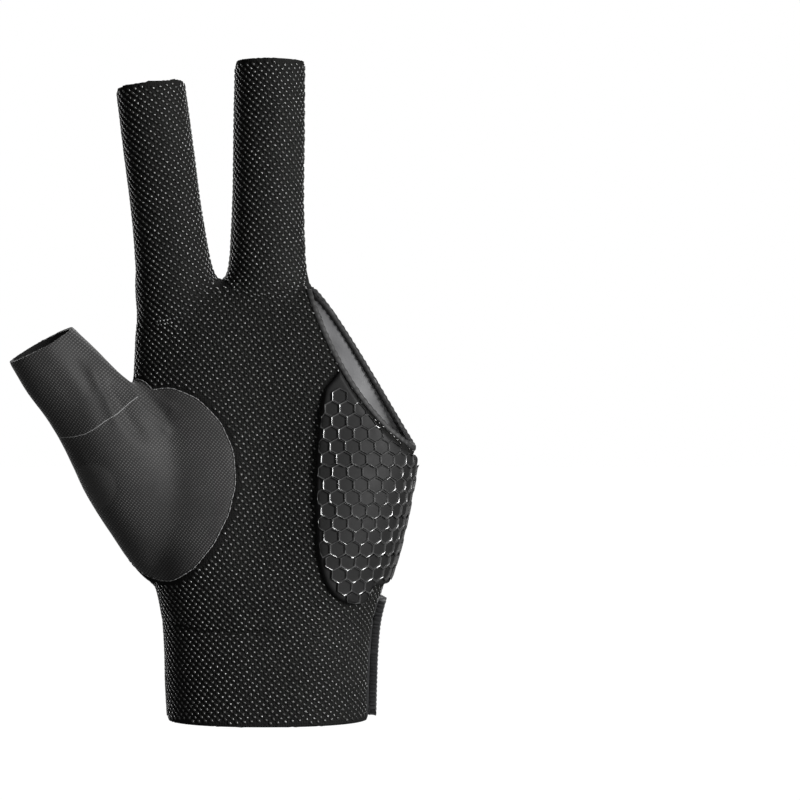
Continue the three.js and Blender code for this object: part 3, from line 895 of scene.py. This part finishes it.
def strapAt(u, v, rise=0):
    # u runs from the slit's side round to the D end, v from the hem up
    middleZ = (strap["height"] + strap["hem"]) / 2
    start, end = angleWhere(middleZ, strap["frontX"], False), angleWhere(middleZ, strap["tabEnd"], True)
    angle = start + (end - start) * u
    here = trunkPoint(middleZ, angle)
    toEnd = max((here - trunkPoint(middleZ, end)).length, 0) if u > 0.5 else 99
    r = strap["tabRadius"]
    cut = r - math.sqrt(max(r * r - (r - toEnd) ** 2, 0)) if toEnd < r else 0
    level = min(max((here.y - strap["levelFrom"]) / strap["levelOver"], 0), 1)
    high = strap["sideHeight"] + (strap["height"] - strap["sideHeight"]) * level - cut
    corner = max(0, strap["cornerReach"] - strap["cornerSlope"] * u) ** 2 * strap["cornerPull"]
    low = strap["hem"] + cut + corner
    high -= corner
    z = low + (high - low) * v
    p = trunkPoint(z, angle)
    q = trunkPoint(z, angle + 0.01)
    out = (q - p).cross(Vector((0, 0, 1))).normalized()
    halfFold = strap["ribbedShare"] / 2
    fold = min(max(1.4 - abs(u - halfFold) / halfFold, 0), 1)
    rib = strap["ribDepth"] * fold * math.sin(2 * math.pi * strap["ribs"] * v)
    edge = strap["edgeDip"] * max(0, 1 - u / strap["edgeShare"]) ** 2
    return p + out * (strap["rise"] + rib - edge + rise)


def makeStrap():
    ob = openGrid("wristStrap", strap["along"], strap["up"], strapAt)
    if ob.data.polygons[len(ob.data.polygons) // 3].normal.x < 0:
        ob.data.flip_normals()
    bake(ob, "SOLIDIFY", thickness=strap["thickness"] * mm, offset=-1, use_even_offset=True)
    bake(ob, "BEVEL", width=strap["bevel"] * mm, segments=3, limit_method="ANGLE",
         angle_limit=math.radians(50))
    pick(ob)
    bpy.ops.object.shade_smooth_by_angle(angle=math.radians(40))
    return ob


wristStrap = makeStrap()
print("strap made")


# threads: rows of small stitches, and thin lines laid on the cloth
thread = {"stitch": (0.74, 0.2, 0.2), "gap": 1.6, "zigzag": 0.9, "inset": 1.15, "rowHeights": (32.2, 29.9),
          "rowGap": 0.95, "backFrom": 34.5, "strapGap": 1.05, "strapStitch": (0.4, 0.13, 0.12), "strapLift": 0.02,
          "paleGap": 0.62, "paleStitch": (0.36, 0.13, 0.14), "paleRagged": 0.1, "paleBack": 4,
          "lineGap": 0.45, "lineStitch": (0.36, 0.14, 0.11),
          "thumbLine": ((-61.6, 82.3), (-58, 82.5), (-54.6, 83.3), (-51.5, 85),
                        (-48.7, 87.1), (-45, 89.3), (-41.4, 92.6), (-38.6, 94.6))}


def evenly(line, gap):
    # places and directions a fixed distance apart along a line of points
    made, carried = [], 0
    for a, b in zip(line, line[1:]):
        length = (b - a).length
        while carried < length:
            made.append((a.lerp(b, carried / length), (b - a).normalized()))
            carried += gap
        carried -= length
    return made


def stitchesOnForm(line, gap, sizes, aside=0, zigzag=0, lift=0.03, ragged=0):
    # zigzag turns each stitch the other way; ragged moves them a little to the side and varies their size
    placings = []
    for k, (p, direction) in enumerate(evenly(line, gap)):
        place, out = onForm(p)
        side = out.cross(direction).normalized()
        sway = math.sin(k * 12.9898) * ragged
        along = direction + side * (zigzag * (1 if k % 2 else -1) + sway * 2)
        scale = 1 + 0.35 * math.sin(k * 4.31) * (1 if ragged else 0)
        place += side * (aside + sway) + out * lift
        placings.append((place, along, out, tuple(c * scale for c in sizes)))
    return placings


def seamLine(pointAt, heights, low, high):
    # where mesh and back meet, between two angles, at each height
    line = []
    for z in heights:
        a, b = low, high
        for k in range(18):
            turn = (a + b) / 2
            a, b = (turn, b) if meshSide(pointAt(z, turn)) < 0 else (a, turn)
        line.append(pointAt(z, a))
    return line


def seamStitches():
    placings = []
    back = np.linspace(0.06 * math.pi, 0.96 * math.pi, 160)
    for z in thread["rowHeights"]:
        line = [trunkPoint(z, a) for a in back]
        line = [p for p in line if p.x < strap["tabEnd"] - 1.5 and meshSide(p) < -1.5]
        placings += stitchesOnForm(line, thread["rowGap"], thread["stitch"], zigzag=thread["zigzag"])
    # a row inside the back's own edge, and one across the seam on the palm side
    start = max(range(len(backBorder)), key=lambda k: backBorder[k].x)
    edge = backBorder[start:] + backBorder[:start]
    for side in (thread["inset"], -thread["inset"]):
        for spot in stitchesOnForm(edge, thread["gap"], thread["stitch"], aside=side):
            p = spot[0]
            inside = tipLimit(p) > 1.2 and openingSpace(p) < -2.2 and p.z > thread["backFrom"]
            if inside and sleeveSpace(p) < -0.5 and padSpace(p) < -0.5:
                placings.append(spot)
    cuffSide = seamLine(trunkPoint, np.arange(2, 29, 1.0), math.pi / 2, 1.5 * math.pi)
    for side in (thread["inset"], -thread["inset"]):
        placings += stitchesOnForm(cuffSide, thread["gap"], thread["stitch"], aside=side)
    return scatter("seamStitches", bead, placings)


def strapStitches():
    # an even line a little inside the strap's outline, and one beside its ribbed fold
    lift = thread["strapLift"]
    outline = [strapAt(u, 0.06, lift) for u in np.linspace(0.1, 0.975, 90)]
    outline += [strapAt(0.978, v, lift) for v in np.linspace(0.06, 0.94, 60)]
    outline += [strapAt(u, 0.94, lift) for u in np.linspace(0.975, 0.1, 90)]
    besideFold = [strapAt(0.115, v, lift) for v in np.linspace(0.05, 0.95, 60)]
    placings = []
    for path in (outline, besideFold):
        for p, direction in evenly(path, thread["strapGap"]):
            out = onForm(p)[1]
            placings.append((p, direction, Vector((out.x, out.y, 0)), thread["strapStitch"]))
    return scatter("strapStitches", bead, placings)


def paleThreads():
    # the light thread at the patch's edge, and the thin line round the thumb
    start = max(range(len(sleeveBorder)), key=lambda k: sleeveBorder[k].y)
    line = sleeveBorder[start:] + sleeveBorder[:start]
    line = [p for p in line if p.y < thread["paleBack"]]
    placings = stitchesOnForm(line, thread["paleGap"], thread["paleStitch"], lift=0.02,
                              ragged=thread["paleRagged"])
    corners = [Vector(c) for c in thread["thumbLine"]]
    thumbLine = [seenPlace(*a.lerp(b, k / 6)) for a, b in zip(corners, corners[1:]) for k in range(6)]
    placings += stitchesOnForm(thumbLine, thread["lineGap"], thread["lineStitch"], lift=0.02)
    return scatter("paleThreads", bead, placings)


seamThreads, strapThreads, sleeveThreads = seamStitches(), strapStitches(), paleThreads()
print("threads laid:", [len(ob.data.polygons) for ob in (seamThreads, strapThreads, sleeveThreads)])


# plain slanted bars, on the strap and on the back of the hand
bars = {"thick": 0.1, "lift": 0.07, "strapCentre": (0.62, 0.5), "strapStep": 0.05, "strapWide": 0.026,
        "strapHeights": (0.2, 0.28, 0.36, 0.28), "strapSlant": 0.06, "backPlace": (8, 78), "backStep": 4.2,
        "backTall": (7, 10, 13, 10, 7), "backWide": 1.7, "backSlant": 0.35}


def bar(name, pointAt, across, up):
    ob = openGrid(name, across, up, pointAt)
    if sum(f.normal.dot(onForm(f.center / mm)[1]) for f in ob.data.polygons) < 0:
        ob.data.flip_normals()
    bake(ob, "SOLIDIFY", thickness=bars["thick"] * mm, offset=-1)
    return ob


def strapBars():
    made = []
    u0, v0 = bars["strapCentre"]
    for k, tall in enumerate(bars["strapHeights"]):
        mid = u0 + (k - 1.5) * bars["strapStep"]

        def pointAt(a, b):
            u = mid + (a - 0.5) * bars["strapWide"] - (b - 0.5) * bars["strapSlant"] * tall / 0.3
            return strapAt(u, v0 + (b - 0.5) * tall, bars["lift"])

        made.append(bar("strapBar", pointAt, 3, 10))
    return made


def backBars():
    made = []
    x0, z0 = bars["backPlace"]
    for k, tall in enumerate(bars["backTall"]):
        mid = x0 + (k - 2) * bars["backStep"]

        def pointAt(a, b):
            x = mid + (a - 0.5) * bars["backWide"] - (b - 0.5) * tall * bars["backSlant"]
            place, out = onForm(Vector((x, 14, z0 + (b - 0.5) * tall)))
            return place + out * bars["lift"]

        made.append(bar("backBar", pointAt, 4, 14))
    return made


def joined(obs, name):
    pick(*obs)
    bpy.ops.object.join()
    bpy.context.object.name = name
    return bpy.context.object


strapMarks, backMarks = strapBars(), backBars()
redBar = strapMarks.pop(2)
redBar.name = "redBar"
greyBars = joined(strapMarks + backMarks, "greyBars")
print("bars laid")




# materials, all in the glove's own coordinates in metres
def newMaterial(name, colour, roughness, specular=0.5, sheen=0.0, sheenRoughness=0.5):
    mat = bpy.data.materials.new(name)
    mat.use_nodes = True
    shader = mat.node_tree.nodes["Principled BSDF"]
    shader.inputs["Base Color"].default_value = (*colour, 1)
    for key, value in (("Roughness", roughness), ("Specular IOR Level", specular), ("Sheen Weight", sheen),
                       ("Sheen Roughness", sheenRoughness)):
        shader.inputs[key].default_value = value
    return mat


def node(mat, kind, inputs={}, **settings):
    # adds a node; an input is a number or the output of another node
    made = mat.node_tree.nodes.new(kind)
    for key, value in settings.items():
        setattr(made, key, value)
    for key, value in inputs.items():
        if isinstance(value, bpy.types.NodeSocket):
            mat.node_tree.links.new(value, made.inputs[key])
        else:
            made.inputs[key].default_value = value
    return made


def placed(mat, turn=(0, 0, 0)):
    # the glove's coordinates, turned by degrees
    coords = node(mat, "ShaderNodeTexCoord").outputs["Object"]
    turned = tuple(math.radians(t) for t in turn)
    return node(mat, "ShaderNodeMapping", {"Vector": coords, "Rotation": turned}).outputs[0]


def noise(mat, at, scale, detail):
    return node(mat, "ShaderNodeTexNoise", {"Vector": at, "Scale": scale, "Detail": detail}).outputs["Fac"]


def wave(mat, at, scale, distortion=0.0, detail=2.0, detailScale=1.0, direction="X"):
    inputs = {"Vector": at, "Scale": scale, "Distortion": distortion, "Detail": detail,
              "Detail Scale": detailScale}
    return node(mat, "ShaderNodeTexWave", inputs, bands_direction=direction).outputs["Fac"]


def blend(mat, amount, a, b):
    made = node(mat, "ShaderNodeMix", data_type="RGBA")
    tree = mat.node_tree
    for key, value in ((0, amount), (6, a), (7, b)):
        if isinstance(value, bpy.types.NodeSocket):
            tree.links.new(value, made.inputs[key])
        else:
            made.inputs[key].default_value = value if key == 0 else (*value, 1)
    return made.outputs[2]


def ramp(mat, value, low, high):
    return node(mat, "ShaderNodeMapRange", {"Value": value, "From Min": low, "From Max": high}).outputs[0]


def maths(mat, operation, a, b):
    return node(mat, "ShaderNodeMath", {0: a, 1: b}, operation=operation).outputs[0]


def finish(mat, colour, height, distance, strength, roughness=None):
    # colour, bump and sometimes roughness go to the shader
    shader = mat.node_tree.nodes["Principled BSDF"]
    links = mat.node_tree.links
    links.new(colour, shader.inputs["Base Color"])
    if roughness is not None:
        links.new(roughness, shader.inputs["Roughness"])
    bump = node(mat, "ShaderNodeBump", {"Height": height, "Distance": distance, "Strength": strength})
    links.new(bump.outputs[0], shader.inputs["Normal"])
    return mat


looks = {"meshDark": (0.0025, 0.0025, 0.0025), "meshLight": (0.008, 0.008, 0.0077), "meshGrain": 1500,
         "knot": (0.004, 0.004, 0.0038), "knotPale": (0.013, 0.0128, 0.012),
         "stretch": (0.006, 0.006, 0.0065), "stretchLight": (0.013, 0.013, 0.014),
         "twillDark": (0.009, 0.0088, 0.0088), "twillLight": (0.075, 0.074, 0.073), "twillPeriod": 0.00066,
         "print": (-0.047, -0.014, 0.0705), "printRadius": 0.0082, "printEdge": 0.0004,
         "lining": (0.42, 0.42, 0.425), "liningDark": (0.07, 0.07, 0.072),
         "inner": (0.006, 0.006, 0.006), "innerLight": (0.02, 0.02, 0.02),
         # the gel ridges' paler grey is painted highlight
         "gel": (0.006, 0.006, 0.006), "gelLight": (0.008, 0.008, 0.008), "gelRidgeHighlight": (0.05, 0.05, 0.05),
         "tape": (0.004, 0.004, 0.004), "elastic": (0.006, 0.006, 0.007),
         "thread": (0.06, 0.06, 0.062), "strapThread": (0.1, 0.1, 0.103), "pale": (0.2, 0.2, 0.2),
         "barGrey": (0.32, 0.32, 0.33), "barRed": (0.42, 0.015, 0.02)}


def meshCloth():
    mat = newMaterial("meshCloth", looks["meshDark"], 0.85, specular=0.05)
    at = placed(mat)
    cells = node(mat, "ShaderNodeTexVoronoi", {"Vector": at, "Scale": looks["meshGrain"], "Randomness": 0.45})
    patches = noise(mat, at, 60.0, 3.0)
    tone = maths(mat, "MULTIPLY", ramp(mat, cells.outputs["Distance"], 0.15, 0.6), patches)
    colour = blend(mat, tone, looks["meshLight"], looks["meshDark"])
    return finish(mat, colour, cells.outputs["Distance"], 0.00025, 0.8)


def knotGloss():
    mat = newMaterial("knotGloss", looks["knot"], 0.28, specular=0.85)
    at = placed(mat)
    fray = noise(mat, at, 4200.0, 2.0)
    patches = noise(mat, at, 900.0, 1.0)
    rough = maths(mat, "ADD", maths(mat, "MULTIPLY", patches, 0.3), 0.1)
    return finish(mat, blend(mat, patches, looks["knot"], looks["knotPale"]), fray, 0.0001, 0.5, rough)


def smoothStretch():
    # fine ribs up the cloth, a soft sheen and faint slanted lines
    mat = newMaterial("smoothStretch", looks["stretch"], 0.6, specular=0.25, sheen=0.06, sheenRoughness=0.4)
    at = placed(mat)
    ribs = wave(mat, at, 1 / 0.0035, 0.6, detailScale=2.0)
    grain = noise(mat, at, 2600.0, 2.0)
    lines = wave(mat, placed(mat, (0, 34, 0)), 1 / 0.075)
    faint = ramp(mat, lines, 0.985, 1.0)
    tone = maths(mat, "ADD", maths(mat, "MULTIPLY", grain, 0.35), maths(mat, "MULTIPLY", faint, 0.6))
    height = maths(mat, "ADD", maths(mat, "MULTIPLY", ribs, 0.5), grain)
    return finish(mat, blend(mat, tone, looks["stretch"], looks["stretchLight"]), height, 0.00006, 0.8)


def satinLining():
    mat = newMaterial("satinLining", looks["lining"], 0.42, sheen=0.4, sheenRoughness=0.4)
    at = placed(mat)
    grain = noise(mat, at, 1800.0, 2.0)
    cloudy = noise(mat, at, 38.0, 2.0)
    colour = blend(mat, ramp(mat, cloudy, 0.3, 0.7), looks["liningDark"], looks["lining"])
    return finish(mat, colour, grain, 0.00008, 0.6)


def innerClothAndShade():
    # the dark inner face of the cloth; inside the back's fingers it stands for shade, a painted shade
    mat = newMaterial("innerClothAndShade", looks["inner"], 0.8, specular=0.2)
    grain = noise(mat, placed(mat), 1800.0, 2.0)
    return finish(mat, blend(mat, grain, looks["inner"], looks["innerLight"]), grain, 0.0001, 0.6)


def twill():
    # small light dots in slanted rows, varying in cloudy patches
    mat = newMaterial("thumbTwill", looks["twillDark"], 0.7, specular=0.2, sheen=0.08)
    reach = 2 * math.pi / 20 / looks["twillPeriod"]
    rows = wave(mat, placed(mat, (0, 52, 0)), reach, 0.25, 0.0)
    columns = wave(mat, placed(mat, (0, -38, 0)), reach * 0.8, 0.25, 0.0)
    dots = maths(mat, "MULTIPLY", rows, columns)
    cloudy = noise(mat, placed(mat), 70.0, 3.0)
    tone = maths(mat, "MULTIPLY", ramp(mat, dots, 0.1, 0.85), ramp(mat, cloudy, 0.1, 0.75))
    # a faint round print low on the thumb, where the dots hardly show
    away = node(mat, "ShaderNodeVectorMath", {0: placed(mat), 1: looks["print"]}, operation="DISTANCE")
    outside = ramp(mat, away.outputs["Value"], looks["printRadius"], looks["printRadius"] + looks["printEdge"])
    dotted = maths(mat, "MULTIPLY", tone, maths(mat, "ADD", maths(mat, "MULTIPLY", outside, 0.55), 0.45))
    plain = maths(mat, "MULTIPLY", maths(mat, "SUBTRACT", 1.0, outside), 0.22)
    tone = maths(mat, "ADD", dotted, plain)
    return finish(mat, blend(mat, tone, looks["twillDark"], looks["twillLight"]), dots, 0.00012, 0.7)


def gelRubber(name, dry):
    # glossy on the ridges, dry on the floors of the cells; the ridges' paler grey is painted highlight
    mat = newMaterial(name, looks["gel"], 0.24, specular=1.0 - 0.88 * dry)
    at = placed(mat)
    grain = noise(mat, at, 1500.0, 3.0)
    smears = noise(mat, at, 260.0, 3.0)
    rough = maths(mat, "ADD", maths(mat, "MULTIPLY", smears, 0.25), 0.08 + 0.37 * dry)
    pale = looks["gelLight"] if dry else looks["gelRidgeHighlight"]
    return finish(mat, blend(mat, smears, looks["gel"], pale), grain, 0.00005, 0.5, rough)


def elastic():
    mat = newMaterial("elastic", looks["elastic"], 0.55, sheen=0.15, sheenRoughness=0.4)
    at = placed(mat)
    ribs = wave(mat, at, 1 / 0.0028, 0.4, direction="Z")
    grain = noise(mat, at, 2400.0, 2.0)
    height = maths(mat, "ADD", ribs, maths(mat, "MULTIPLY", grain, 0.6))
    return finish(mat, blend(mat, grain, looks["elastic"], looks["stretchLight"]), height, 0.00008, 0.8)


def fibre(name, colour, roughness=0.6):
    mat = newMaterial(name, colour, roughness)
    fray = noise(mat, placed(mat), 3500.0, 2.0)
    darker = tuple(c * 0.55 for c in colour)
    return finish(mat, blend(mat, fray, darker, colour), fray, 0.00008, 0.6)


def dress(ob, *mats):
    ob.data.materials.clear()
    for mat in mats:
        ob.data.materials.append(mat)


meshLook, knotLook, stretchLook, liningLook = meshCloth(), knotGloss(), smoothStretch(), satinLining()
twillLook, elasticLook, innerAndShadeLook = twill(), elastic(), innerClothAndShade()
gelLook, gelDryLook = gelRubber("gelGloss", 0), gelRubber("gelDry", 1)
tapeLook, threadLook = fibre("tapeCloth", looks["tape"], 0.7), fibre("darkThread", looks["thread"])
strapThreadLook, paleLook = fibre("strapThread", looks["strapThread"]), fibre("paleThread", looks["pale"])
greyPrint, redPrint = fibre("greyPrint", looks["barGrey"], 0.5), fibre("redPrint", looks["barRed"], 0.5)

# which faces are inner ones, and the height above which the back's fingers wear the dark inner cloth in place of
# the lining, as painted shade inside the finger tubes
lining = {"shadedFingersFrom": 123, "turned": -0.3, "depth": 0.6}
dress(palmPanel, meshLook, innerAndShadeLook)
dress(backPanel, stretchLook, liningLook, innerAndShadeLook)
dress(cuffBack, stretchLook, innerAndShadeLook)
dress(thumbSleeve, twillLook, innerAndShadeLook)
for ob in panels.values():
    # the inner face of the back wears the lining and other inner faces the dark inner cloth; inside the back's
    # fingers that dark cloth is painted shade
    for f in ob.data.polygons:
        place, out = onForm(f.center / mm)
        if f.normal.dot(out) < lining["turned"] and (f.center / mm - place).length > wall * lining["depth"]:
            f.material_index = 2 if ob is backPanel and place.z > lining["shadedFingersFrom"] else 1
dress(palmKnots, knotLook)
dress(gelPad, gelDryLook)
dress(hexagons, gelLook, gelDryLook)
for f in hexagons.data.polygons:
    f.material_index = 1 if len(f.vertices) == 3 else 0
for ob, look in ((openingTape, tapeLook), (wristStrap, elasticLook), (seamThreads, threadLook),
                 (strapThreads, strapThreadLook), (sleeveThreads, paleLook),
                 (greyBars, greyPrint), (redBar, redPrint)):
    dress(ob, look)
print("materials made")

# everything goes on the one body, and the solids that it stands for are hidden
bpy.data.objects.remove(gloveForm)
bpy.data.objects.remove(bead)
stands = ((palmPanel, "palm_panel", "palm_mesh"), (backPanel, "back_panel", "stretch_fabric"),
          (cuffBack, "cuff_back", "stretch_fabric"), (thumbSleeve, "thumb_sleeve", "thumb_twill"),
          (gelPad, "gel_pad", "gel"), (wristStrap, "wrist_strap", "strap_fabric"),
          (openingTape, "opening_binding", "edge_tape"))
added = ((palmKnots, "palm_mesh"), (hexagons, "gel"), (seamThreads, "stretch_fabric"),
         (strapThreads, "strap_fabric"), (sleeveThreads, "thumb_twill"), (greyBars, "strap_fabric"),
         (redBar, "strap_fabric"))
for ob, solid, slotName in stands:
    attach(ob, "root")
    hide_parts(solid)
for ob, slotName in added:
    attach(ob, "root")

# the pale floor and room: bright to the eye, and dim enough for black cloth to stay black
room = {"floorDrop": 0.32, "floorSize": 30, "floorTone": 0.12, "lit": 0.045, "floorLit": 0.06}
deselectAll()
bpy.ops.mesh.primitive_plane_add(size=room["floorSize"], location=(0, 0, -room["floorDrop"]))
floor = bpy.context.object
floor.name = "floor"
paleFloor = newMaterial("paleFloor", (room["floorTone"],) * 3, 0.95)
seenByEye = node(paleFloor, "ShaderNodeLightPath").outputs["Is Camera Ray"]
glow = maths(paleFloor, "MULTIPLY", seenByEye, 1.0 - room["floorLit"])
glow = maths(paleFloor, "ADD", glow, room["floorLit"])
floorShader = paleFloor.node_tree.nodes["Principled BSDF"]
floorShader.inputs["Emission Color"].default_value = (1, 1, 1, 1)
paleFloor.node_tree.links.new(glow, floorShader.inputs["Emission Strength"])
dress(floor, paleFloor)

world = bpy.data.worlds.new("paleRoom")
bpy.context.scene.world = world
world.use_nodes = True
air = world.node_tree
seen = air.nodes["Background"]
seen.inputs["Color"].default_value = (1, 1, 1, 1)
seen.inputs["Strength"].default_value = 1.0
dim = node(world, "ShaderNodeBackground", {"Color": (1, 1, 1, 1), "Strength": room["lit"]})
rays = node(world, "ShaderNodeLightPath").outputs["Is Camera Ray"]
either = node(world, "ShaderNodeMixShader", {0: rays, 1: dim.outputs[0], 2: seen.outputs[0]})
air.links.new(either.outputs[0], air.nodes["World Output"].inputs["Surface"])

# soft boxes: place, size and watts
softBoxes = {
    "keyRight": ((0.72, -0.54, 0.3), (0.2, 0.75), 24),
    "front": ((-0.15, -1.25, 0.25), (1.0, 0.8), 3.4),
    "fillLeft": ((-0.8, -0.7, 0.3), (0.5, 0.8), 0.5),
    "backTop": ((0.1, 0.9, 0.7), (0.6, 0.5), 5),
    "backSide": ((-0.5, 0.85, 0.2), (0.4, 0.8), 3),
}


def softBox(name, place, size, watts):
    # an area light turned towards the middle of the glove
    light = bpy.data.lights.new(name, "AREA")
    light.shape = "RECTANGLE"
    light.size, light.size_y = size
    light.energy = watts
    ob = bpy.data.objects.new(name, light)
    bpy.context.collection.objects.link(ob)
    ob.location = place
    ob.rotation_euler = (Vector((0, 0, 0.1)) - Vector(place)).to_track_quat("-Z", "Y").to_euler()


for name, (place, size, watts) in softBoxes.items():
    softBox(name, place, size, watts)

eye = bpy.data.cameras.new("eye")
eye.sensor_width = 36
eye.lens = 36 * view["distance"] / view["width"]
eye.clip_end = 60
camera = bpy.data.objects.new("eye", eye)
bpy.context.collection.objects.link(camera)
camera.location = (view["x"], -view["distance"], view["z"])
camera.rotation_euler = (math.radians(90), 0, 0)
bpy.context.scene.camera = camera
bpy.context.scene.view_settings.view_transform = "Standard"
print("stage, lights and camera set")
